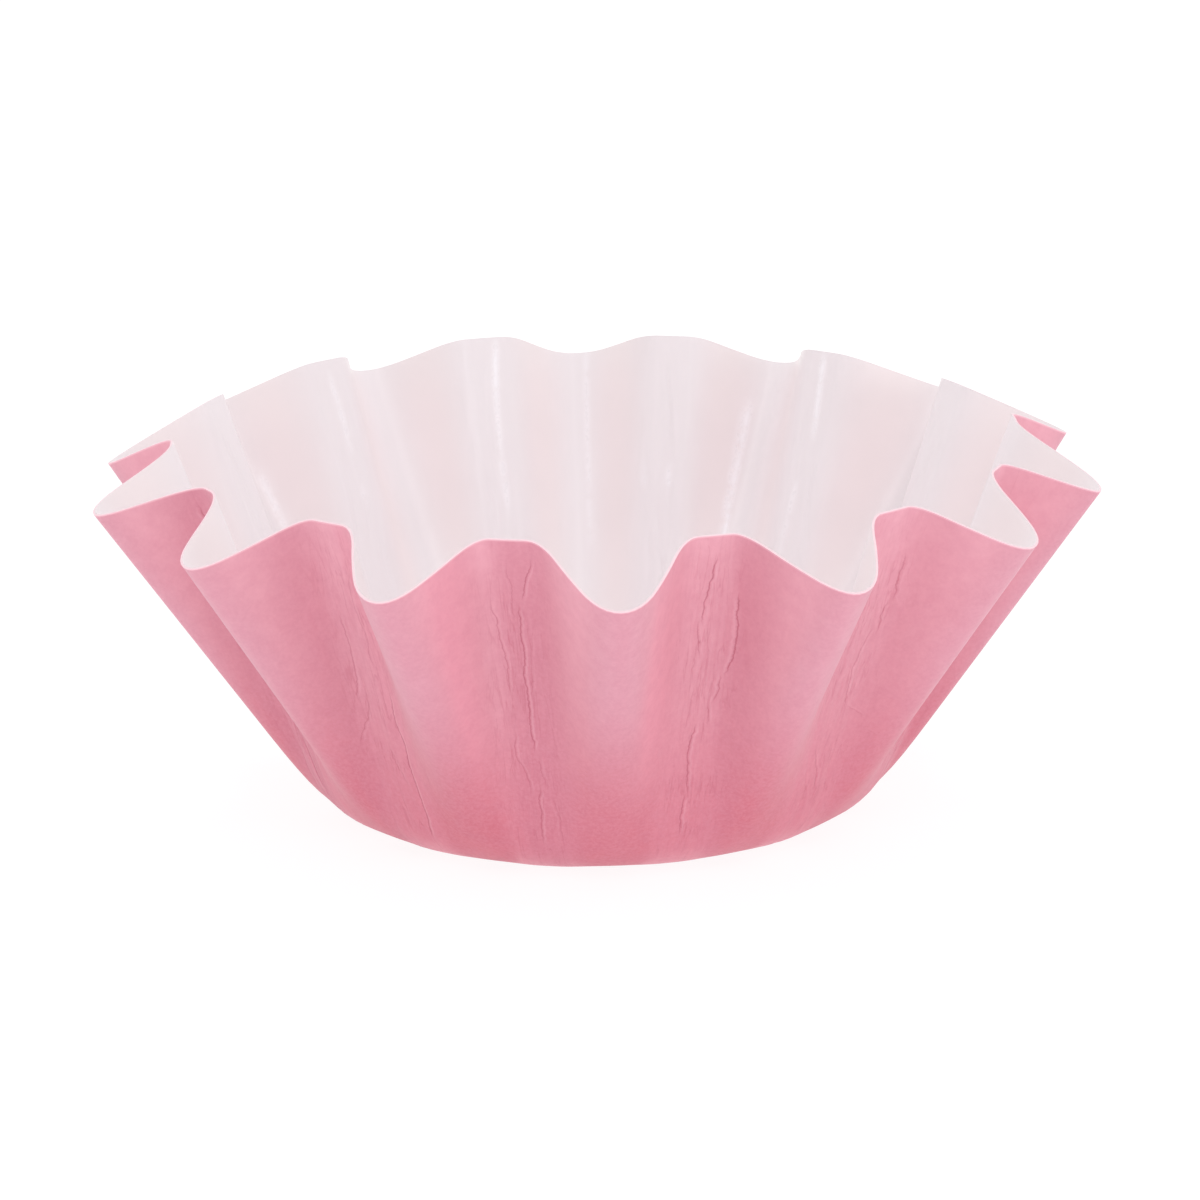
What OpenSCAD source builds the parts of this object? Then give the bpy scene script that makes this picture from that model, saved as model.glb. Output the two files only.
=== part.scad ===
// Fluted paper cupcake liner, pressed from one round of coated paper.
// Millimetres, +Z up, origin at the middle of the base's underside.
// The paper is one sheet: a flat floor, a rounded corner, and a wall that opens
// into flutes, with a tip at each flute's middle and a fold between two flutes.

/* [Base] */
// Diameter of the flat floor, out to where the rounded corner starts
floor_d = 33; // [28:0.5:40]
// Diameter at which a tip's straight line would meet the table
tip_foot_d = 50.4; // [48:0.2:54]
// Diameter at which a fold's straight line would meet the table
fold_foot_d = 52.8; // [50:0.2:56]
// Length of a tip's line that the rounded corner takes away
tip_corner = 13.2; // [8:0.2:16]
// Length of a fold's line that the rounded corner takes away
fold_corner = 8.8; // [6:0.2:12]
// Height up each line of the point that rounds the corner: larger is rounder
corner_pull = 1.7; // [1:0.1:4]

/* [Rim] */
// Diameter of the rim across the flute tips
tip_d = 95; // [88:1:102]
// Height of the rim at the flute tips
tip_h = 31.2; // [26:0.2:36]
// Diameter of the rim across the folds
fold_d = 78; // [74:0.2:82]
// Height of the rim at the folds
fold_h = 35.1; // [30:0.1:40]

/* [Flutes] */
// Number of flutes round the cup
flutes = 14; // [10:1:16]
// Angle from the front to the first flute's tip, towards the right
first_tip = 2.6; // [-12:0.2:12]
// Share of half a flute that a fold's flat back takes
fold_flat = 0.17; // [0:0.01:0.25]
// Share of half a flute that the bend beside the flat back takes
fold_bend = 0.3; // [0.05:0.05:0.4]
// Share of half a flute that a tip's round nose takes
tip_bend = 0.31; // [0.05:0.01:0.35]
// How unevenly the flutes stand, from 0 for a perfect pressing to 1 for this one
unevenness = 1; // [0:0.1:1]

/* [Paper] */
// Thickness of the coated paper
paper_t = 0.2; // [0.15:0.05:0.4]
// How far the small creases in the backs of the folds stand out and in
crease_depth = 0.15; // [0:0.05:0.2]

/* [Hidden] */

// Each flute's own departure from the even pattern, from the front one towards the right.
// Turns are in degrees, and reaches and lifts in millimetres. A fold comes after its tip.
tip_turn = [0, -0.4, -0.4, -2.9, -0.3, 0.4, -0.2, -0.3, 0, 0, 0.4, 2.8, 0.7, 0.3];
tip_reach = [-0.2, 0.3, 0, -0.4, -1.2, 0.4, 0, -0.7, 0.2, 0, -1.2, -0.2, 0, 0.3];
tip_lift = [0, 0, 0, 0.5, 0.4, -0.4, 0, 0.5, 0.1, -0.3, -0.4, 0.5, 0, 0.2];
fold_turn = [0.5, 0.5, 2, 0.6, -1.2, -0.3, -1.6, 0, 0.6, 1.6, -0.6, -0.3, -0.7, -0.7];
fold_reach = [-1.1, 0.4, 0, 0.2, 0, 0, 1.1, 2.3, 0.6, 0, 0, 0, 0, 1];
fold_lift = [-0.2, 0, -0.2, 0.3, 0, 0, 0, -0.1, 0.2, 0.1, -0.2, -0.3, 0, 0.4];

// The stations of half a flute, as shares of the way from a fold's middle to a tip.
// They stand close together at the fold, where the creases are.
ways = [0, 0.04, 0.08, 0.12, 0.17, 0.23, 0.3, 0.38, 0.47, 0.57, 0.67, 0.78, 0.89, 1];
// How far out of the smooth wall each of the first stations is, in crease depths
creases = [1, -1, 0.8, -0.8, 0.4];

half_steps = len(ways) - 1;
corner_steps = 5;
wall_steps = 2;
stations = 2 * flutes * half_steps;
rows = corner_steps + wall_steps;

// A flute's entry in one of the lists above, for any number of flutes
function own(list, flute) = unevenness * list[(flute % flutes) % len(list)];

function tip_angle(flute) = first_tip + 360 / flutes * flute + own(tip_turn, flute);
function fold_angle(flute) = first_tip + 360 / flutes * (flute + 0.5) + own(fold_turn, flute);
function tip_r(flute) = tip_d / 2 + own(tip_reach, flute);
function fold_r(flute) = fold_d / 2 + own(fold_reach, flute);
function tip_z(flute) = tip_h + own(tip_lift, flute);
function fold_z(flute) = fold_h + own(fold_lift, flute);

function mix(from, to, share) = from + (to - from) * share;

// How far a way is past a start, up to a length
function past(way, start, length) = min(max(way - start, 0), length);

// From 0 at a fold's middle to 1 at a tip: level over the fold's flat back, then
// a bend, a straight flank, and a bend to level again over the tip's nose
function flare(way) =
    let (
        steepness = 1 / (1 - fold_flat - fold_bend / 2 - tip_bend / 2),
        into_bend = past(way, fold_flat, fold_bend),
        after_bend = past(way, fold_flat + fold_bend, 1),
        into_nose = past(way, 1 - tip_bend, tip_bend)
    )
    steepness * (pow(into_bend, 2) / (2 * fold_bend) + after_bend
        - pow(into_nose, 2) / (2 * tip_bend));

// One station round the cup, as [angle, rim radius, rim height, flare, station from
// the fold]. An even half runs from a tip to the next fold, and an odd half onwards.
function station_at(number) =
    let (
        half = floor(number / half_steps),
        flute = floor(half / 2),
        falling = half % 2 == 0,
        near_tip = falling ? flute : flute + 1,
        from_fold = falling ? half_steps - number % half_steps : number % half_steps,
        tipness = flare(ways[from_fold])
    )
    [
        mix(fold_angle(flute), tip_angle(near_tip), ways[from_fold]),
        mix(fold_r(flute), tip_r(near_tip), tipness),
        mix(fold_z(flute), tip_z(near_tip), tipness),
        tipness,
        from_fold
    ];

// A smooth curve from one point to another, drawn towards the two points between
function curve(share, from, first_pull, last_pull, to) =
    from * pow(1 - share, 3) + first_pull * 3 * share * pow(1 - share, 2)
        + last_pull * 3 * pow(share, 2) * (1 - share) + to * pow(share, 3);

// Distance out and height of the outer face, in one station's upright plane. The
// corner leaves the floor level and ends in the direction of the wall's straight line.
function profile_at(row, station) =
    let (
        foot = [mix(fold_foot_d, tip_foot_d, station[3]) / 2, 0],
        line = [station[1], station[2]] - foot,
        along = line / norm(line),
        corner = mix(fold_corner, tip_corner, station[3]),
        climb = (row - corner_steps) / wall_steps
    )
    row > corner_steps
        ? foot + mix(corner, norm(line), climb) * along
        : curve(row / corner_steps, [floor_d / 2, 0], [tip_foot_d / 2, 0],
            foot + corner_pull * along, foot + corner * along);

function turned(angle, flat_point) =
    [flat_point[0] * sin(angle), -flat_point[0] * cos(angle), flat_point[1]];

round_cup = [for (number = [0 : stations - 1]) station_at(number)];
smooth = [
    for (row = [0 : rows])
        [for (station = round_cup) turned(station[0], profile_at(row, station))]
];

// The direction into the cup, square to a face given by its rows. The floor stays level.
function inward(face, row, number) =
    let (
        after = (number + 1) % stations,
        before = (number + stations - 1) % stations,
        round_way = face[row][after] - face[row][before],
        up_way = face[min(row + 1, rows)][number] - face[max(row - 1, 0)][number],
        square = cross(up_way, round_way)
    )
    row == 0 ? [0, 0, 1] : square / norm(square);

// The rim has no spare paper and no creases. They are deepest at half height,
// and run out on the way down to the floor.
function crease_at(row, number) =
    let (from_fold = round_cup[number][4], climb = smooth[row][number][2] / smooth[rows][number][2])
    from_fold < len(creases) ? crease_depth * creases[from_fold] * sin(180 * climb) : 0;

outer = [
    for (row = [0 : rows])
        [
            for (number = [0 : stations - 1])
                smooth[row][number] - crease_at(row, number) * inward(smooth, row, number)
        ]
];
inner = [
    for (row = [0 : rows])
        [
            for (number = [0 : stations - 1])
                outer[row][number] + paper_t * inward(outer, row, number)
        ]
];

// Two triangles over one cell, whose corners are given clockwise from outside.
// The cut between them swaps from one half of a flute to the other, as a mirror would.
function cell(a, b, c, d, swapped) = swapped ? [[a, b, d], [b, c, d]] : [[a, b, c], [a, c, d]];

function at(side, row, number) =
    side * (rows + 1) * stations + row * stations + number % stations;

module liner() {
    outer_faces = [
        for (row = [0 : rows - 1], s = [0 : stations - 1])
            each cell(at(0, row, s), at(0, row + 1, s), at(0, row + 1, s + 1), at(0, row, s + 1),
                floor(s / half_steps) % 2 == 0)
    ];
    inner_faces = [
        for (row = [0 : rows - 1], s = [0 : stations - 1])
            each cell(at(1, row, s + 1), at(1, row + 1, s + 1), at(1, row + 1, s), at(1, row, s),
                floor(s / half_steps) % 2 == 0)
    ];
    rim_faces = [
        for (s = [0 : stations - 1])
            each cell(at(0, rows, s), at(1, rows, s), at(1, rows, s + 1), at(0, rows, s + 1),
                floor(s / half_steps) % 2 == 0)
    ];
    underside = [for (s = [0 : stations - 1]) at(0, 0, s)];
    floor_face = [for (s = [0 : stations - 1]) at(1, 0, stations - 1 - s)];

    color("pink")
        polyhedron(
            points = [for (row = outer) each row, for (row = inner) each row],
            faces = concat(outer_faces, inner_faces, rim_faces, [underside], [floor_face]),
            convexity = 10
        );
}

liner();
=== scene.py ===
# %% [markdown]
# A fluted paper cupcake liner, standing on a pale table.
#
# The liner is one round of paper, pink on one side and coated pearl white on the
# other, pressed between two fluted dies. The scene repeats that work: it draws the
# flat round, presses the flutes into it, creases the folds, gives the sheet its
# thickness, and then paints both faces and the cut edge.
#
# The frame comes first. It holds the solid liner at its real size.

# %% Load the frame
import itertools
import math

import bpy
import numpy as np
from mathutils import Matrix, Vector


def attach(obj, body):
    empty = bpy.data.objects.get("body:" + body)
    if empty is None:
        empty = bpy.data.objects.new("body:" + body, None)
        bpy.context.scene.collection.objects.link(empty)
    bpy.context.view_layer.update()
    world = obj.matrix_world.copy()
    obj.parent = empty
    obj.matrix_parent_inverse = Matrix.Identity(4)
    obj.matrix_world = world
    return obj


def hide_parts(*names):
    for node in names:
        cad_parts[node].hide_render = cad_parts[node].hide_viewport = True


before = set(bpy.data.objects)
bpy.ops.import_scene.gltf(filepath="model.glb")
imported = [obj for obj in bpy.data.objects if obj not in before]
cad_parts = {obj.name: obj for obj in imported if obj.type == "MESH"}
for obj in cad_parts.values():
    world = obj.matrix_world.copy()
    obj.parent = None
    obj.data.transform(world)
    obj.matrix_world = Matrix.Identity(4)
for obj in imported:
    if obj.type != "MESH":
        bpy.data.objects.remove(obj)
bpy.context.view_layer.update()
mm = 0.001


# %% [markdown]
# The liner's own sizes are those of its solid. The paper leaves the table at the
# floor's edge and turns up through a rounded corner. Above it the wall opens to a
# rim that is wide and low at the flutes' tips, and narrow and high at the folds
# between them. The sizes are written once, here, and every later step works from
# them.

# %% Sizes of the liner
floor_r = 16.5 * mm
tip_foot_r = 25.2 * mm
fold_foot_r = 26.4 * mm
tip_corner = 13.2 * mm
fold_corner = 8.8 * mm
corner_pull = 1.7 * mm
tip_r = 47.5 * mm
tip_z = 31.2 * mm
fold_r = 39 * mm
fold_z = 35.1 * mm
flutes = 14
first_tip = 2.6
fold_flat = 0.17
fold_bend = 0.3
tip_bend = 0.31
paper_t = 0.2 * mm

# Each flute's departure from the even pattern, from the front one to the right.
tip_turn = np.array([0, -0.4, -0.4, -2.9, -0.3, 0.4, -0.2, -0.3, 0, 0, 0.4, 2.8, 0.7, 0.3])
tip_reach = np.array([-0.2, 0.3, 0, -0.4, -1.2, 0.4, 0, -0.7, 0.2, 0, -1.2, -0.2, 0, 0.3]) * mm
tip_lift = np.array([0, 0, 0, 0.5, 0.4, -0.4, 0, 0.5, 0.1, -0.3, -0.4, 0.5, 0, 0.2]) * mm
fold_turn = np.array([0.5, 0.5, 2, 0.6, -1.2, -0.3, -1.6, 0, 0.6, 1.6, -0.6, -0.3, -0.7, -0.7])
fold_reach = np.array([-1.1, 0.4, 0, 0.2, 0, 0, 1.1, 2.3, 0.6, 0, 0, 0, 0, 1]) * mm
fold_lift = np.array([-0.2, 0, -0.2, 0.3, 0, 0, 0, -0.1, 0.2, 0.1, -0.2, -0.3, 0, 0.4]) * mm
print("tips", round(2 * tip_r / mm, 1), "mm across, folds", round(2 * fold_r / mm, 1), "mm across")


# %% [markdown]
# Two small helpers keep the modelling cells short. Loading the frame leaves its
# solids selected, and an operator acts on all that is selected, so each piece
# starts by deselecting everything.

# %% Modelling helpers
def start_clean():
    if bpy.context.mode != "OBJECT":
        bpy.ops.object.mode_set(mode="OBJECT")
    bpy.ops.object.select_all(action="DESELECT")


def finish_piece(name):
    if bpy.context.mode != "OBJECT":
        bpy.ops.object.mode_set(mode="OBJECT")
    piece = bpy.context.object
    piece.name = name
    piece.data.name = name
    return piece


# %% [markdown]
# The paper starts as a flat round. It could be drawn as a grid, but a grid's
# squares would cross the flutes at every angle. A circle whose face is inset again
# and again gives rings and spokes, and the spokes become the lines that run
# straight up the wall. Twenty-eight half flutes of thirty spokes each are enough for
# the fine creases and still leave the sheet light.

# %% Draw the flat round
steps_per_half = 30
spokes = 2 * flutes * steps_per_half
wall_rings = 38
corner_rings = 14
wall_ring = 0.7 * mm
corner_ring = 1.5 * mm
round_r = floor_r + corner_rings * corner_ring + wall_rings * wall_ring

start_clean()
bpy.ops.mesh.primitive_circle_add(vertices=spokes, radius=round_r, fill_type="NGON")
bpy.ops.object.mode_set(mode="EDIT")
bpy.ops.mesh.select_mode(type="FACE")
bpy.ops.mesh.select_all(action="SELECT")
for ring in range(wall_rings):
    bpy.ops.mesh.inset(thickness=wall_ring, use_boundary=True)
for ring in range(corner_rings):
    bpy.ops.mesh.inset(thickness=corner_ring, use_boundary=True)
bpy.ops.mesh.select_all(action="SELECT")
bpy.ops.mesh.flip_normals()
liner = finish_piece("pressed_liner")
print("flat round", round(2 * round_r / mm, 1), "mm across,", len(liner.data.polygons), "faces")


# %% [markdown]
# Pressing moves every point of the round by one rule, so it is done in code. A
# point's spoke says where it is between a tip and a fold, and its ring says how far
# up the paper it is. The rim is worked out first, spoke by spoke. From a fold's
# middle it stays level over a flat back, bends, runs straight down the flank, and
# rounds the tip's nose. The folds at the two sides are rounder than the others, so
# they get less flat back and more bend, which moves the paper by half a millimetre
# at most. The spokes stand closer together at the folds, where the creases will
# need them.

# %% Find the rim at each spoke
right_folds = [2, 3]
left_folds = [10, 11]
flats = np.full(flutes, fold_flat)
flats[right_folds] = 0.12
flats[left_folds] = 0.06
bends = np.full(flutes, fold_bend)
bends[right_folds] = 0.4
bends[left_folds] = 0.5


def flare(way, flat, bend):
    """From 0 at a fold's middle to 1 at a tip."""
    steepness = 1 / (1 - flat - bend / 2 - tip_bend / 2)
    into_bend = np.clip(way - flat, 0, bend)
    after_bend = np.clip(way - flat - bend, 0, None)
    into_nose = np.clip(way - (1 - tip_bend), 0, None)
    rise = into_bend**2 / (2 * bend) + after_bend - into_nose**2 / (2 * tip_bend)
    return steepness * rise


# How much closer together than on average the spokes stand at a fold
fold_crowding = 0.62

spoke = np.arange(spokes)
half = spoke // steps_per_half
share = spoke % steps_per_half / steps_per_half
flute = half // 2
falling = half % 2 == 0
even_way = np.where(falling, 1 - share, share)
way = even_way - fold_crowding * np.sin(np.pi * even_way) / np.pi
beside = np.where(falling, flute, (flute + 1) % flutes)

pitch = 360 / flutes
tip_angle = first_tip + pitch * np.arange(flutes) + tip_turn
fold_angle = first_tip + pitch * (np.arange(flutes) + 0.5) + fold_turn
to_tip = (tip_angle[beside] - fold_angle[flute] + 180) % 360 - 180
spoke_angle = np.radians(fold_angle[flute] + to_tip * way)
tipness = flare(way, flats[flute], bends[flute])
low_r = fold_r + fold_reach[flute]
low_z = fold_z + fold_lift[flute]
rim_r = low_r + (tip_r + tip_reach[beside] - low_r) * tipness
rim_z = low_z + (tip_z + tip_lift[beside] - low_z) * tipness
print("rim radius", round(rim_r.min() / mm, 1), "to", round(rim_r.max() / mm, 1), "mm")


# %% [markdown]
# Each spoke is then bent in its own upright plane. Its straight line would meet
# the table at a foot, and the rounded corner is a smooth curve from the floor's
# edge to a place some way up that line. Tips get a longer corner than folds, which
# is why the flutes fade out into a plain round base.

# %% Press the round
def profile(up_corner, up_wall, own):
    """Distance out and height of the paper, at places on their own spokes."""
    foot = fold_foot_r + (tip_foot_r - fold_foot_r) * tipness[own]
    corner = fold_corner + (tip_corner - fold_corner) * tipness[own]
    length = np.hypot(rim_r[own] - foot, rim_z[own])
    outwards = (rim_r[own] - foot) / length
    upwards = rim_z[own] / length
    pulls = [
        (1 - up_corner) ** 3,
        3 * up_corner * (1 - up_corner) ** 2,
        3 * up_corner**2 * (1 - up_corner),
        up_corner**3,
    ]
    along = corner + (length - corner) * up_wall
    out = pulls[0] * floor_r + pulls[1] * tip_foot_r
    out = out + pulls[2] * (foot + corner_pull * outwards) + pulls[3] * (foot + along * outwards)
    height = pulls[2] * corner_pull * upwards + pulls[3] * along * upwards
    return out, height


count = len(liner.data.vertices)
flat = np.empty(count * 3)
liner.data.vertices.foreach_get("co", flat)
flat = flat.reshape(count, 3)
flat_r = np.hypot(flat[:, 0], flat[:, 1])
flat_angle = np.arctan2(flat[:, 0], -flat[:, 1])
own_spoke = np.round(flat_angle / (2 * np.pi) * spokes).astype(int) % spokes
up_corner = np.clip((flat_r - floor_r) / (corner_rings * corner_ring), 0, 1)
up_wall = np.clip((flat_r - round_r) / (wall_rings * wall_ring) + 1, 0, 1)
out, height = profile(up_corner, up_wall, own_spoke)
own_angle = spoke_angle[own_spoke]
pressed = np.stack([out * np.sin(own_angle), -out * np.cos(own_angle), height], axis=1)
liner.data.vertices.foreach_set("co", pressed.ravel())
liner.data.update()
print("pressed liner", np.round(np.ptp(pressed, axis=0) / mm, 1), "mm")


# %% [markdown]
# A round has more paper low down than the flutes can take up, so the surplus
# puckers into thin creases on the backs of the folds. A brush could draw them, but
# numbers are easier to keep: each crease is a few places, given as height above
# the table and distance across the fold, both in millimetres, and how strong it is.
# A crease is a small ridge with a groove beside it. The four front folds have
# creases of their own, and every other fold borrows one of these sets, turned left
# to right and moved a little.

# %% Set out the creases
left_fold = [
    (0.9, [(33.3, 2.0), (31.2, 1.3), (29.7, 0.9)]),
    (1.0, [(28.8, 0.6), (25.7, 0.4), (23.5, 0.6), (22, 0.3), (19.5, 0.5), (16.5, 0.5), (14.4, 0.6)]),
    (0.4, [(28.7, 1.2), (25.7, 1.2), (22.6, 1.1), (19.5, 0.8)]),
    (0.7, [(29.3, -1.9), (26.9, -1.5), (25.4, -1.4), (23.5, -1.1), (20.3, -1.2)]),
    (-0.5, [(33, -0.3), (31.2, 0.1), (27.5, 0)]),
    (0.6, [(16, -1), (14.3, -1.2), (12.8, -1), (12.2, -0.4), (9.8, -0.2)]),
    (0.6, [(13.2, 0.9), (10.4, 1.3)]),
    (0.8, [(10.2, 0.6), (6.8, 0.5), (4.6, 0.4)]),
    (-0.5, [(9.4, 1.8), (6.5, 2.2), (4.2, 2.2)]),
    (0.3, [(21.7, 2.6), (18.6, 2.5), (15.6, 2.5), (13.3, 2.6)]),
]
right_fold = [
    (1.0, [(32.6, 0.3), (30.4, -0.1), (28.6, -0.4), (26.2, -0.5)]),
    (0.8, [(26.4, -0.8), (24.6, -0.7), (23.1, -0.4)]),
    (0.5, [(23, -0.8), (20.6, -0.9)]),
    (-1.0, [(28.9, 2.4), (24.7, 2.6), (22.6, 2.4), (21.3, 2.1)]),
    (-0.8, [(21.1, 1.8), (19.4, 1.6), (18.3, 1.1)]),
    (0.8, [(18.6, 0.8), (16.2, 1)]),
    (0.5, [(20, -0.6), (17.3, -0.8), (15.8, -1)]),
    (1.0, [(16, 0), (14.6, -0.5), (12.5, -0.5), (9.3, -0.2)]),
    (0.9, [(8.8, -0.4), (7.4, -0.6), (5, -0.5)]),
    (0.3, [(7.4, 5.8), (5.8, 5.4), (4.1, 5.4)]),
]
far_left_fold = [
    (1.0, [(18.2, 1.8), (15.1, 1.5), (13.4, 1.9), (11.3, 1.7), (9, 1.8), (6.1, 2.1), (3.7, 1.7)]),
    (0.4, [(18, 3.7), (15.7, 4.5), (13.2, 4.9), (10, 4.4)]),
    (0.5, [(13, 0), (10.9, 0.2), (8.8, 1.1)]),
    (0.7, [(25.6, -1.4), (22.3, -1.3), (19.3, -1.6), (17.2, -2)]),
    (0.6, [(17, -1), (15.2, -1.7), (12.8, -2.9)]),
    (0.5, [(30, 0.8), (27.3, 0.5), (24.4, 0.9), (21, 0.7)]),
]
far_right_fold = [
    (0.7, [(30.4, 2.5), (28, 2.5), (25.7, 2.5)]),
    (0.7, [(25.9, 2.2), (24.5, 2), (22.8, 2.1)]),
    (0.7, [(23.2, 1.6), (21.2, 0.8), (19.4, 0.4), (17.3, 0.6), (15.6, 0.8)]),
    (0.5, [(15.8, 0.8), (14.7, 2.4), (14, 3.2)]),
    (0.4, [(12.8, 3.4), (12.3, 4.5), (11.4, 5.9)]),
    (0.6, [(11.8, -1.4), (9.1, -0.2), (7.5, 0)]),
    (0.4, [(9.8, -1.8), (6.2, -0.6)]),
    (0.4, [(29, -0.4), (26.4, -0.9), (23.7, -0.6), (20.9, -1)]),
]
crease_sets = [left_fold, right_fold, far_left_fold, far_right_fold]
own_set = {flutes - 1: 0, 0: 1, flutes - 2: 2, 1: 3}


def loan(fold):
    """A fold's set, the side it is turned to, and how far up it is moved."""
    if fold in own_set:
        return own_set[fold], 1, 0
    luck = np.random.default_rng(fold)
    return luck.integers(len(crease_sets)), luck.choice([-1, 1]), luck.uniform(-1.5, 0.5) * mm


set_of, side_of, lift_of = np.array([loan(fold) for fold in range(flutes)]).T
print(sum(len(creases) for creases in crease_sets), "creases in", len(crease_sets), "sets")


# %% [markdown]
# The creases are pressed along the sheet's own normals, so that a ridge stands
# out from the wall wherever it is. A soft ripple goes with them, because puckered
# paper is never flat between its creases. The mesh carries the relief that is
# wider than its own spacing, and the paint adds the sharp line in each groove, as
# bump and as painted shade.

# %% Crease the folds
crease_depth = 0.06 * mm
groove_width = 0.2 * mm
ridge_width = 0.3 * mm
ridge_beside = 0.4 * mm
crease_reach = 8 * mm
crease_fade = 1 * mm
ripple_depth = 0.06 * mm
ripple_reach = 3.2 * mm
wide_wave = 0.34 * mm
fine_wave = 0.21 * mm
sway_reach = 0.5 * mm
sway_wave = 2.6 * mm
first_ripple_seed = 100


def hump(distance, width):
    return np.exp(-((distance / width) ** 2))


fold_of = flute[own_spoke]
across = (own_angle - np.radians(fold_angle[fold_of]) + np.pi) % (2 * np.pi) - np.pi
straight_across = across * out
across = straight_across * side_of[fold_of]
up_fold = height - lift_of[fold_of]
puckered = np.zeros(count)
for fold in range(flutes):
    near = np.flatnonzero((fold_of == fold) & (np.abs(across) < crease_reach) & (height > mm))
    here_high, here_far = up_fold[near], across[near]
    for strength, places in crease_sets[int(set_of[fold])]:
        highs, fars = np.array(places[::-1]).T * mm
        gap = here_far - np.interp(here_high, highs, fars)
        side = math.copysign(1, strength)
        from_end = np.minimum(here_high - highs[0], highs[-1] - here_high)
        fade = np.clip(from_end / crease_fade + 0.5, 0, 1) * abs(strength)
        ridge = hump(gap * side - ridge_beside, ridge_width)
        groove = hump(gap, groove_width)
        puckered[near] += crease_depth * fade * (ridge - groove)
    luck = np.random.default_rng(first_ripple_seed + fold)
    climb = np.clip(height[near] / (fold_z + fold_lift[fold]), 0, 1)
    spare = np.sin(np.pi * climb) ** 0.7
    sway = sway_reach * np.sin(here_high / sway_wave + luck.uniform(0, 6))
    ripple = np.sin((here_far + sway) / wide_wave) + np.sin((here_far - sway) / fine_wave)
    puckered[near] += ripple_depth / 2 * ripple * spare * hump(here_far, ripple_reach)

normals = np.empty(count * 3)
liner.data.vertex_normals.foreach_get("vector", normals)
creased = pressed + normals.reshape(count, 3) * puckered[:, None]
liner.data.vertices.foreach_set("co", creased.ravel())
liner.data.update()
print("creases stand up to", round(puckered.max() / mm, 2), "mm proud")


# %% [markdown]
# Each set of creases also has a soft band of painted shade on one side of its fold
# and one of painted light on the other, given as strength, distance across the fold
# and width. On the inside the film is pulled tight over the back of some folds, where
# it is smoother and raised in thin upright glints, and a painted highlight whitens
# them. They are set out as the creases are, but they belong to the folds at the back,
# which the camera sees from inside. The painted shade and light fade out towards the
# tips, which are plain, and on the floor.

# %% Set out the painted shading and the glints
# Bands of painted shade (strength above zero) and painted light (below zero) across each fold.
painted_shading_bands = [
    [(1, 1.2, 3), (-0.7, -5, 2.5)],
    [(0.6, 3.2, 2.5), (-1, -5.5, 2.8)],
    [(0.6, -3.2, 2.5), (-0.5, 1.6, 1.5)],
    [(0.4, 3.8, 2.5), (-0.3, -3, 3)],
]
glints = {
    5: [(0.8, [(34.6, 0.2), (27.5, -0.3)]), (0.4, [(22.5, 0.7), (16, 1)])],
    6: [
        (1, [(27.5, -6.7), (23.6, -6.3), (19.1, -5.8), (14, -5.6)]),
        (0.4, [(32, 10.3), (24.9, 9.3), (15.2, 7.6)]),
        (1, [(22.4, -0.3), (21.6, -0.3)]),
        (0.5, [(22.3, 2.2), (21.7, 2.2)]),
    ],
    7: [(0.9, [(34.2, -1.2), (29.9, -0.7)]), (0.5, [(29.9, -0.7), (24.4, -0.5), (19, -0.6)])],
    8: [
        (0.5, [(33.5, -0.2), (26.9, -0.6)]),
        (0.7, [(24.8, 6.9), (20, 6.5)]),
        (0.8, [(22.9, -0.7), (22.3, -0.7)]),
    ],
}
glint_width = 0.35 * mm
glint_fade = 2 * mm
floor_fade = 2 * mm
plain_tip = 0.4

# Painted shading across each fold: painted shade above zero, painted light below.
painted_shading = np.zeros(count)
for number, bands in enumerate(painted_shading_bands):
    near = set_of[fold_of] == number
    for strength, middle, width in bands:
        painted_shading[near] += strength * hump(across[near] - middle * mm, width * mm)
off_floor = np.clip(height / floor_fade, 0, 1)
painted_shading *= np.clip((1 - tipness[own_spoke]) / plain_tip, 0, 1) * off_floor

# Where the glint is high, the film is smoother and raised, and a painted highlight whitens it.
glint = np.zeros(count)
for fold, lines in glints.items():
    near = np.flatnonzero(fold_of == fold)
    for strength, places in lines:
        highs, fars = np.array(places[::-1]).T * mm
        gap = straight_across[near] - np.interp(height[near], highs, fars)
        from_end = np.minimum(height[near] - highs[0], highs[-1] - height[near])
        glint[near] += strength * hump(gap, glint_width) * np.clip(from_end / glint_fade + 0.5, 0, 1)
print("dye from", round(painted_shading.min(), 2), "to", round(painted_shading.max(), 2), "and glints to", round(glint.max(), 2))


# %% [markdown]
# Attributes carry all this to the paint: how far the wall is from fold to tip, each
# point's place on its fold, the set of creases that the fold has, the painted shading,
# the glints, and the distance from the rim. A texture on the object's own coordinates
# couldn't follow the flutes round the cup.

# %% Keep what the paint needs
def keep(name, kind, field, values):
    attribute = liner.data.attributes.new(name, kind, "POINT")
    attribute.data.foreach_set(field, np.ascontiguousarray(values, dtype=np.float32).ravel())


fold_apart = 20 * mm
fold_place = np.stack([across, fold_of * fold_apart, up_fold], axis=1)
wall_length = np.hypot(rim_r - fold_foot_r, rim_z)[own_spoke] - tip_corner
keep("tipness", "FLOAT", "value", tipness[own_spoke] * off_floor)
keep("fold_place", "FLOAT_VECTOR", "vector", fold_place)
keep("crease_set", "FLOAT", "value", set_of[fold_of])
keep("painted_shading", "FLOAT", "value", painted_shading)
keep("glint", "FLOAT", "value", glint)
keep("from_rim", "FLOAT", "value", (1 - up_wall) * wall_length)
print("attributes", [attribute.name for attribute in liner.data.attributes])


# %% [markdown]
# Real paper is a solid sheet with a cut edge. Solidify is the modifier for that: it
# copies the sheet inwards and joins the two along the rim. Its material offsets
# give the inner face and the cut edge finishes of their own. It is applied further
# on, once the sheet has its three finishes.

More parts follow.
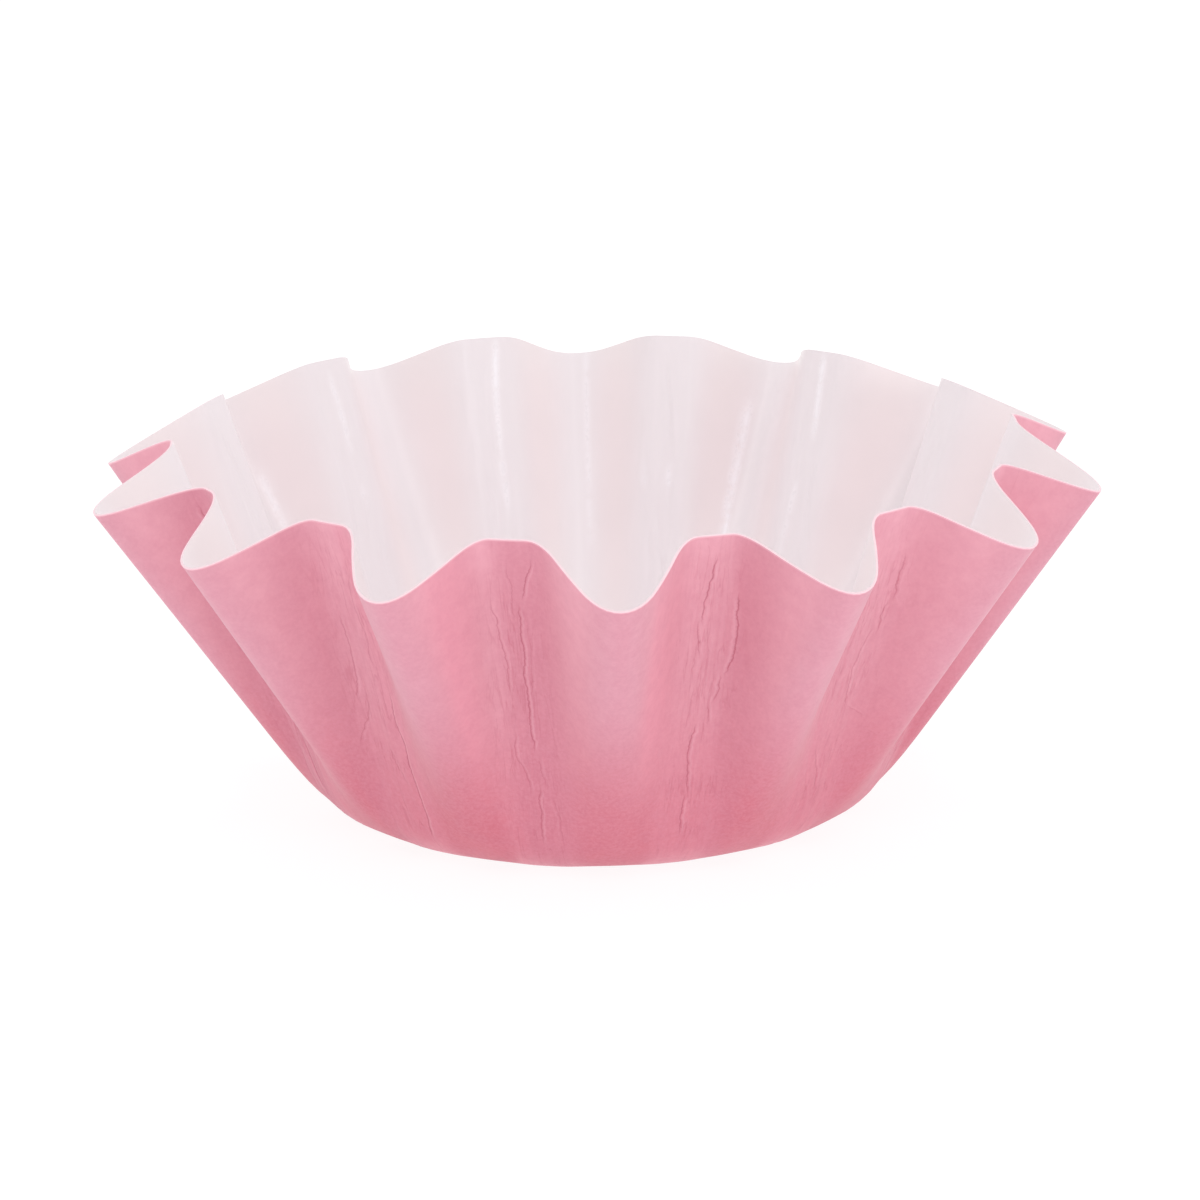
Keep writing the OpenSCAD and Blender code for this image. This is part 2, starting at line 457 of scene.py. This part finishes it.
# %% Give the sheet its thickness
start_clean()
liner.select_set(True)
bpy.context.view_layer.objects.active = liner
thickness = liner.modifiers.new("Paper", "SOLIDIFY")
thickness.thickness = paper_t
thickness.offset = -1
thickness.use_even_offset = False
thickness.material_offset = 1
thickness.material_offset_rim = 2
print("paper", paper_t / mm, "mm thick")


# %% [markdown]
# Shader maths reads best as plain expressions, so a small class wraps a node's
# output, and adding or multiplying two of them adds the Math node. Any other node
# comes from one method, which sets it up first and then fills its sockets.

# %% Shader helpers
class Wire:
    """A node's output, which can be added to, multiplied and so on."""

    def __init__(self, finish, socket):
        self.finish = finish
        self.socket = socket

    def maths(self, operation, first, second):
        return self.finish.node("ShaderNodeMath", {"operation": operation}, {0: first, 1: second})

    def __add__(self, other):
        return self.maths("ADD", self, other)

    def __radd__(self, other):
        return self.maths("ADD", other, self)

    def __sub__(self, other):
        return self.maths("SUBTRACT", self, other)

    def __rsub__(self, other):
        return self.maths("SUBTRACT", other, self)

    def __mul__(self, other):
        return self.maths("MULTIPLY", self, other)

    def __rmul__(self, other):
        return self.maths("MULTIPLY", other, self)

    def __abs__(self):
        return self.maths("ABSOLUTE", self, 0.0)


class Finish:
    """A material under construction."""

    def __init__(self, name):
        self.material = bpy.data.materials.new(name)
        self.material.use_nodes = True
        self.nodes = self.material.node_tree.nodes
        self.links = self.material.node_tree.links
        self.nodes.clear()

    def node(self, kind, settings, values, output=0):
        """Makes a node, sets it up, then fills its sockets with values or links."""
        made = self.nodes.new(kind)
        for name, setting in settings.items():
            setattr(made, name, setting)
        for name, value in values.items():
            if isinstance(value, Wire):
                self.links.new(value.socket, made.inputs[name])
            else:
                made.inputs[name].default_value = value
        return Wire(self, made.outputs[output])

    def noise(self, size, detail, roughness, place=None):
        """A noise whose blotches are about size across."""
        place = place or self.node("ShaderNodeTexCoord", {}, {}, "Object")
        values = {"Vector": place, "Scale": 1 / size, "Detail": detail, "Roughness": roughness}
        return self.node("ShaderNodeTexNoise", {}, values, 0)

    def kept(self, name, output="Fac"):
        """An attribute of the sheet."""
        return self.node("ShaderNodeAttribute", {"attribute_name": name}, {}, output)

    def blend(self, first, second, share):
        """From one colour to another."""
        settings = {"data_type": "RGBA", "clamp_factor": True}
        return self.node("ShaderNodeMix", settings, {0: share, 6: first, 7: second}, 2)

    def stretched(self, place, scale):
        """A place whose three numbers are scaled apart."""
        settings = {"operation": "MULTIPLY"}
        return self.node("ShaderNodeVectorMath", settings, {0: place, 1: scale})

    def along(self, place, axis):
        """One number of a place, by its axis."""
        return self.node("ShaderNodeSeparateXYZ", {}, {0: place}, axis)

    def height(self):
        """Height above the table."""
        return self.along(self.node("ShaderNodeTexCoord", {}, {}, "Object"), "Z")

    def ramp(self, value, start, end):
        """From 0 at the start to 1 at the end, level at both."""
        settings = {"interpolation_type": "SMOOTHSTEP"}
        values = {"Value": value, "From Min": start, "From Max": end}
        return self.node("ShaderNodeMapRange", settings, values)

    def curve(self, value, points):
        """A value looked up on straight lines through points from 0 to 1."""
        made = self.nodes.new("ShaderNodeFloatCurve")
        line = made.mapping.curves[0]
        for _ in points[2:]:
            line.points.new(0.5, 0.5)
        for spot, point in zip(line.points, points):
            spot.location = point
            spot.handle_type = "VECTOR"
        made.mapping.extend = "HORIZONTAL"
        made.mapping.update()
        self.links.new(value.socket, made.inputs["Value"])
        return Wire(self, made.outputs["Value"])

    def shader(self, values):
        return self.node("ShaderNodeBsdfPrincipled", {}, values)

    def end(self, shader):
        surface = self.nodes.new("ShaderNodeOutputMaterial")
        self.links.new(shader.socket, surface.inputs["Surface"])
        return self.material


def srgb(red, green, blue):
    """A colour read as 0 to 255 on a screen, in the linear light that shaders use."""
    screen = np.array([red, green, blue]) / 255
    light = np.where(screen <= 0.04045, screen / 12.92, ((screen + 0.055) / 1.055) ** 2.4)
    return (*light.tolist(), 1)


# %% [markdown]
# The sharp part of a crease is thinner than the mesh can carry, so the paint draws
# it. Every crease is a curve that is looked up by height and gives its distance
# across the fold. Where the two agree there is a groove with painted shade in it,
# and a ridge with a painted highlight on it runs beside it, on the side that the
# crease's sign gives. Both are bumps as well. The four sets of creases stand one above
# another, so that one curve serves a crease of each set. A fine noise pushes the
# lines about, because paper cracks along its fibres.

# %% Draw the creases
high_span = 40 * mm
wide_span = 16 * mm
profile_span = 1.6 * mm
end_fade = 0.6 * mm
kink = 0.7 * mm

# Across one crease, from 0 in the groove to 1 on the ridge, and 0.5 beside them
profile = [(0, 0.5), (0.43, 0.5), (0.5, 0), (0.56, 0.5), (0.64, 1), (0.78, 0.5), (1, 0.5)]


def crease_slots():
    """The creases that share one curve, as (side, one crease or None for each set)."""
    for side in (1, -1):
        same_side = [[crease for crease in creases if crease[0] * side > 0] for creases in crease_sets]
        for slot in itertools.zip_longest(*same_side):
            yield side, slot


def draw_creases(paint):
    """The creases' tone, down to -0.5 in a groove and up to 0.5 on a ridge."""
    place = paint.kept("fold_place", "Vector")
    kinks = paint.noise(1.2 * mm, 3, 0.65, paint.stretched(place, (0.4, 1, 1))) - 0.5
    far = paint.along(place, "X") + kinks * kink
    far = far * (1 / wide_span) + 0.5
    sets_below = paint.kept("crease_set")
    high = paint.along(place, "Z") * (1 / high_span) + sets_below
    high = high * (1 / len(crease_sets))
    tone = 0
    for side, slot in crease_slots():
        route, shown = [], []
        for number, crease in enumerate(slot):
            if crease is None:
                continue
            strength, places = crease
            highs = [(y * mm / high_span + number) / len(crease_sets) for y, x in places[::-1]]
            fars = [x * mm / wide_span + 0.5 for y, x in places[::-1]]
            route += list(zip(highs, fars))
            fade = end_fade / high_span / len(crease_sets)
            shown += [(highs[0] - fade, 0), (highs[0] + fade, abs(strength))]
            shown += [(highs[-1] - fade, abs(strength)), (highs[-1] + fade, 0)]
        gap = (far - paint.curve(high, route)) * (side * wide_span / profile_span) + 0.5
        tone = tone + (paint.curve(gap, profile) - 0.5) * paint.curve(high, shown)
    return tone


# %% [markdown]
# The outside is thin dyed paper. Its pink isn't even: there is a fine mottle of
# fibres and a soft cloudiness. On top of that, painted shade makes it deeper low
# down, painted light makes it paler near the rim and again at the foot of the folds,
# and bands of painted shade and painted light lie beside the folds.
# The creases have painted shade in the groove and a painted highlight on the ridge
# beside it. Fine upright cracks and streaks, masked to the folds and weaker near the
# rim, give the puckers that are too small to set out one by one, as bump and as
# painted shade in the colour. The last fifth of a millimetre below the rim is paler.
# A little sheen brightens the paper where it turns away, as its loose fibres do.

# %% Paint the outside
# The low pinks hold painted shade, and the high, top and foot pinks hold painted light.
fold_shaded_low_pink = srgb(204, 113, 130)
fold_lit_high_pink = srgb(213, 148, 162)
fold_lit_top_pink = srgb(229, 168, 182)
fold_lit_foot_pink = srgb(222, 156, 168)
tip_shaded_low_pink = srgb(194, 89, 108)
tip_lit_high_pink = srgb(203, 142, 158)
painted_shade_pink = srgb(190, 106, 126)
painted_light_pink = srgb(228, 142, 161)
cloud_pink = srgb(213, 138, 156)
mottle_pink = srgb(190, 116, 136)
fibre_pink = srgb(230, 168, 183)
streak_shade_pink = srgb(190, 103, 123)
crack_shade_pink = srgb(180, 86, 107)
# Painted shade for the crease grooves and a painted highlight for their ridges.
groove_shade_pink = srgb(165, 70, 92)
ridge_highlight_pink = srgb(230, 172, 186)
pale_rim_pink = srgb(234, 184, 196)


def pink_paper():
    paint = Finish("pink_paper")
    height = paint.height()
    fibres = paint.ramp(paint.noise(0.35 * mm, 4, 0.65), 0.25, 0.75)
    mottle = paint.ramp(paint.noise(1.5 * mm, 3, 0.65), 0.25, 0.75)
    cloud = paint.noise(9 * mm, 2, 0.5)
    from_rim = paint.kept("from_rim")
    tip = paint.kept("tipness")
    in_fold = paint.ramp(tip, 0.9, 0.5) * paint.ramp(height, 0, floor_fade)
    tone = draw_creases(paint) * in_fold
    groove = paint.ramp(tone, 0, -0.5)
    ridge = paint.ramp(tone, 0, 0.5)
    place = paint.kept("fold_place", "Vector")
    from_middle = abs(paint.along(place, "X"))
    below_rim = 0.4 + 0.6 * paint.ramp(from_rim, 0, 8 * mm)
    puckered = paint.ramp(from_middle, 4.5 * mm, 1 * mm) * in_fold * below_rim
    streaks = paint.ramp(paint.noise(0.4 * mm, 3, 0.6, paint.stretched(place, (1, 1, 0.15))), 0.35, 0.7)
    wander = paint.noise(1 * mm, 3, 0.55, paint.stretched(place, (1, 1, 0.1)))
    patches = paint.noise(4 * mm, 1, 0.5)
    cracks = paint.ramp(abs(wander - 0.5), 0.022, 0) * puckered * paint.ramp(patches, 0.35, 0.55)

    # Painted shade low down, turning to painted light higher up, on folds and on tips.
    low = paint.blend(fold_shaded_low_pink, tip_shaded_low_pink, paint.ramp(tip, 0.05, 0.6))
    high = paint.blend(fold_lit_high_pink, tip_lit_high_pink, paint.ramp(tip, 0.6, 1))
    pink = paint.blend(low, high, paint.ramp(height, 4 * mm, 23 * mm))
    # Painted light near the rim, on the folds.
    top = paint.ramp(height, 20 * mm, 37 * mm) * paint.ramp(tip, 1, 0.6)
    pink = paint.blend(pink, fold_lit_top_pink, top)
    # Painted light at the foot of the folds.
    foot = paint.ramp(height, 4 * mm, 0) * paint.ramp(tip, 0.4, 0)
    pink = paint.blend(pink, fold_lit_foot_pink, foot)
    # Painted shade and painted light in bands beside the folds.
    painted_shading = paint.kept("painted_shading")
    climb = paint.ramp(height, 6 * mm, 20 * mm)
    pink = paint.blend(pink, painted_shade_pink, paint.ramp(painted_shading, 0, 1) * 0.6)
    pink = paint.blend(pink, painted_light_pink, paint.ramp(painted_shading, 0, -1) * climb * 0.65)
    pink = paint.blend(pink, cloud_pink, cloud * 0.4)
    pink = paint.blend(pink, mottle_pink, mottle * 0.22)
    pink = paint.blend(pink, fibre_pink, fibres * 0.2)
    # Painted shade in the small puckers' streaks and cracks.
    pink = paint.blend(pink, streak_shade_pink, streaks * puckered * 0.2)
    pink = paint.blend(pink, crack_shade_pink, cracks * 0.3)
    # Painted shade in the crease grooves and a painted highlight on their ridges.
    pink = paint.blend(pink, groove_shade_pink, groove * 0.6)
    pink = paint.blend(pink, ridge_highlight_pink, ridge * 0.3)
    # The last fifth of a millimetre below the rim is painted paler.
    pink = paint.blend(pink, pale_rim_pink, paint.ramp(from_rim, 0.2 * mm, 0))

    relief = fibres * 0.1 + mottle * 0.12 + tone
    relief = relief - streaks * puckered * 0.3 - cracks * 0.25
    values = {"Strength": 0.6, "Distance": 0.06 * mm, "Height": relief}
    bump = paint.node("ShaderNodeBump", {}, values)
    roughness = 0.6 + mottle * 0.1
    values = {"Base Color": pink, "Roughness": roughness, "Normal": bump, "Sheen Weight": 0.15}
    return paint.end(paint.shader(values))


print("pink low on a fold", [round(part, 3) for part in fold_shaded_low_pink[:3]])


# %% [markdown]
# The inside is coated with a pearly film. It is smoother than the paper, so it
# shows soft bright bands where a flute's back turns to the light, but not a mirror,
# because the film follows the fibres under it. Its colour is a little cooler on the
# backs of the folds, as a painted highlight, and warmer on the flanks between them,
# as painted pink light bounced across the folds. It is a little darker on the flat
# floor. The glints are smoother than the film and a painted highlight whitens them;
# a noise breaks them up.

# %% Paint the inside
# Painted highlight in the cooler fold white, painted bounce light in the warmer flank white, and the
# glint white for painted highlights.
fold_highlight_white = srgb(243, 236, 239)
flank_bounce_white = srgb(248, 237, 238)
floor_white = srgb(233, 225, 228)
cloud_white = srgb(236, 225, 227)
painted_glint_white = srgb(255, 251, 255)


def pearl_film():
    paint = Finish("pearl_inside")
    cloud = paint.noise(8 * mm, 2, 0.5)
    fibres = paint.noise(0.5 * mm, 3, 0.6)
    tip = paint.kept("tipness")
    flank = 4 * tip * (1 - tip)
    place = paint.kept("fold_place", "Vector")
    streaks = paint.noise(0.7 * mm, 2, 0.5, paint.stretched(place, (1, 1, 0.05)))
    height = paint.height()
    off_floor = paint.ramp(height, paper_t, floor_fade)
    streaks = streaks * off_floor
    # The glints make the film smoother and raised, and whiten it as a painted highlight.
    glint = paint.kept("glint") * paint.ramp(paint.noise(1.3 * mm, 2, 0.6), 0.2, 0.6)

    # Painted highlight on the fold backs and painted bounce light on the flanks.
    white = paint.blend(fold_highlight_white, flank_bounce_white, flank)
    white = paint.blend(floor_white, white, off_floor)
    white = paint.blend(white, cloud_white, cloud * 0.5)
    white = paint.blend(white, painted_glint_white, glint)
    relief = fibres * 0.3 + streaks * 0.7 + glint * 1.5
    values = {"Strength": 0.3, "Distance": 0.04 * mm, "Height": relief}
    bump = paint.node("ShaderNodeBump", {}, values)
    roughness = 0.26 + fibres * 0.12 - glint * 0.12
    values = {"Base Color": white, "Roughness": roughness, "Normal": bump}
    return paint.end(paint.shader(values))


# %% [markdown]
# The cut edge shows the paper's pale core between the two faces. It is only a
# fifth of a millimetre wide, but it draws the fine pale line round the rim that
# makes the wall read as paper.

# %% Paint the cut edge
def cut_edge():
    paint = Finish("cut_edge")
    grain = paint.noise(0.4 * mm, 2, 0.5)
    core = paint.blend(srgb(240, 214, 220), srgb(234, 205, 212), grain)
    return paint.end(paint.shader({"Base Color": core, "Roughness": 0.7}))


for make_finish in (pink_paper, pearl_film, cut_edge):
    liner.data.materials.append(make_finish())

start_clean()
liner.select_set(True)
bpy.context.view_layer.objects.active = liner
bpy.ops.object.modifier_apply(modifier="Paper")
bpy.ops.object.shade_smooth_by_angle(angle=math.radians(60))
print("liner mesh", len(liner.data.polygons), "faces, finishes", len(liner.data.materials))


# %% [markdown]
# The liner stands on a plain white table in soft, even light. A matte table alone
# would look grey, so most of what the camera sees of it is a plain white glow, and
# the rest is the matte surface with the liner's shadow on it. Reflections see it as
# the camera does. The light that it throws back on the liner is that of the matte
# table with a weaker glow, which fills in the lower wall.

# %% Set the table
def table_top():
    paint = Finish("table_top")
    matte = paint.node("ShaderNodeBsdfDiffuse", {}, {"Color": (0.85, 0.85, 0.85, 1)})
    weak_glow = paint.node("ShaderNodeEmission", {}, {"Strength": 0.45})
    lit = paint.node("ShaderNodeAddShader", {}, {0: matte, 1: weak_glow})
    white_glow = paint.node("ShaderNodeEmission", {}, {"Strength": 1.0})
    seen = paint.node("ShaderNodeMixShader", {}, {0: 0.8, 1: lit, 2: white_glow})
    looking = paint.node("ShaderNodeLightPath", {}, {}, "Is Camera Ray")
    for kind in ("Is Glossy Ray", "Is Transmission Ray"):
        looking = looking + paint.node("ShaderNodeLightPath", {}, {}, kind)
    return paint.end(paint.node("ShaderNodeMixShader", {}, {0: looking, 1: lit, 2: seen}))


start_clean()
bpy.ops.mesh.primitive_plane_add(size=6)
table = finish_piece("table")
table.data.materials.append(table_top())
print("table", table.dimensions.x, "m square")


# %% [markdown]
# A bright white room gives most of the light, as a photographer's white tent does.
# The lamp above and behind models the flutes and brightens the front of the rim.
# A weak one low on the right lights the sides of the flutes that face it, and a
# weak one in front reaches the back of the pearly inside.

# %% Light the scene
world = bpy.data.worlds.new("studio")
world.use_nodes = True
bpy.context.scene.world = world
room = world.node_tree.nodes["Background"]
room.inputs["Color"].default_value = (1, 1, 1, 1)
room.inputs["Strength"].default_value = 0.89


def softbox(name, place, size, watts):
    bpy.ops.object.light_add(type="AREA", location=place)
    lamp = bpy.context.object
    lamp.name = name
    lamp.data.size = size
    lamp.data.energy = watts
    lamp.rotation_mode = "QUATERNION"
    lamp.rotation_quaternion = (-lamp.location).to_track_quat("-Z", "Y")
    print(name, watts, "W,", round(lamp.location.length, 2), "m away")


softbox("back_lamp", (0, 0.5, 1), 0.4, 3)
softbox("right_lamp", (0.8, -0.6, 0.14), 0.4, 0.5)
softbox("front_lamp", (0.1, -0.8, 0.8), 0.4, 1.1)

# %% [markdown]
# The camera stands where the photographer's did. Its distance, height, tilt and
# lens were found by fitting the flutes' tips and folds to the photograph.

# %% Place the camera
camera_distance = 0.4867
camera_elevation = math.radians(17.94)
look_at = Vector((0.0004, 0, 0.019))
camera_roll = math.radians(-0.69)

start_clean()
bpy.ops.object.camera_add()
camera = finish_piece("camera")
camera.data.sensor_width = 36
camera.data.lens = 155
camera.data.clip_start = 0.01
stand = Vector((0, -math.cos(camera_elevation), math.sin(camera_elevation))) * camera_distance
level = (look_at - stand).to_track_quat("-Z", "Y").to_matrix().to_4x4()
camera.matrix_world = Matrix.Translation(stand) @ level @ Matrix.Rotation(camera_roll, 4, "Z")
bpy.context.scene.camera = camera
bpy.context.scene.view_settings.view_transform = "Standard"
print("camera", round(camera_distance, 3), "m away, lens", camera.data.lens, "mm")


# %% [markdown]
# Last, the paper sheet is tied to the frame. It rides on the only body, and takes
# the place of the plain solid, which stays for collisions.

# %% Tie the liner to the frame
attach(liner, "root")
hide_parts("liner")
